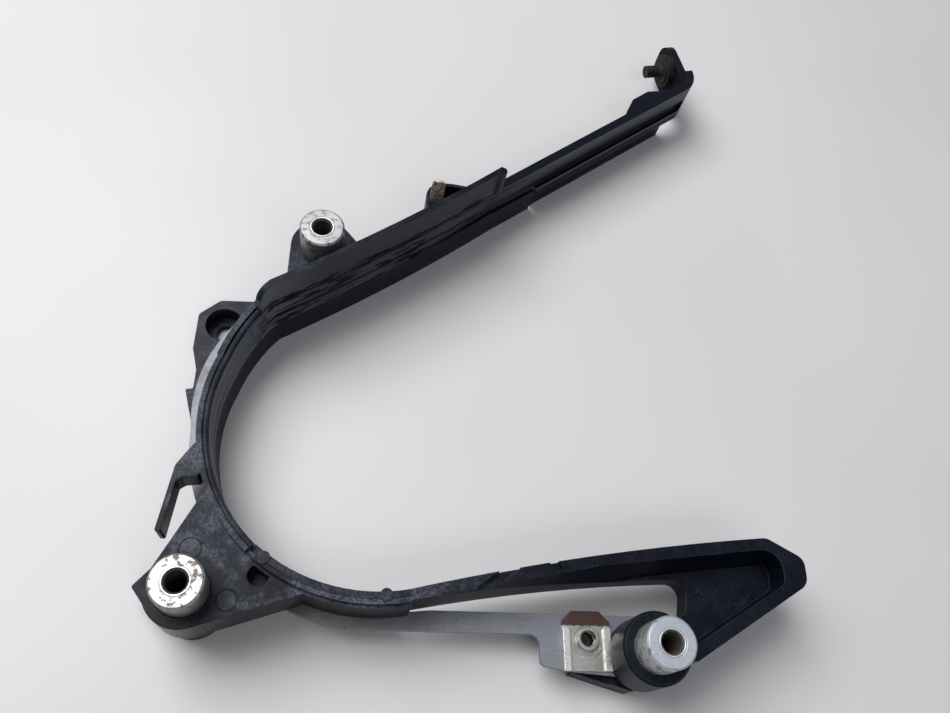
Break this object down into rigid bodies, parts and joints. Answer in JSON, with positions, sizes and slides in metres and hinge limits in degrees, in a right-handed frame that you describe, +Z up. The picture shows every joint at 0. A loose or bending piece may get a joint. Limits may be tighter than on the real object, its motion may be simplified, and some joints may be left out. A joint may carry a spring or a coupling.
{
  "type": "chain guard",
  "caption": "C-shaped motorbike sprocket and chain guard: black plastic ring and arms on a thin steel plate, with spacer collars and a clip nut.",
  "frame": {"origin": "axis of the left spacer collar, at the face that the guard lies on", "axes": "+Z up along the collars, +X towards the right collar's side, +Y towards the upper arm"},
  "size_m": [0.2195, 0.2926, 0.0415],
  "materials": {
    "frame_plastic": "fine moulded grain, worn",
    "slider_plastic": "satin, scuffed by the chain",
    "lower_plastic": "fine moulded grain",
    "plate_steel": "dull grey coating",
    "collar_steel": "turned, lightly stained",
    "nut_zinc": "zinc plated",
    "spring_rust": "rusted",
    "peg_rubber": "dusty"
  },
  "bodies": {
    "root": {"guard_frame": "frame_plastic", "chain_slider": "slider_plastic", "mounting_plate": "plate_steel", "lower_guard": "lower_plastic", "right_foot": "lower_plastic", "collar_left": "collar_steel", "collar_right": "collar_steel", "collar_top": "collar_steel", "clip_nut": "nut_zinc", "spring_clip": "spring_rust", "end_peg": "peg_rubber"}
  },
  "joints": []
}
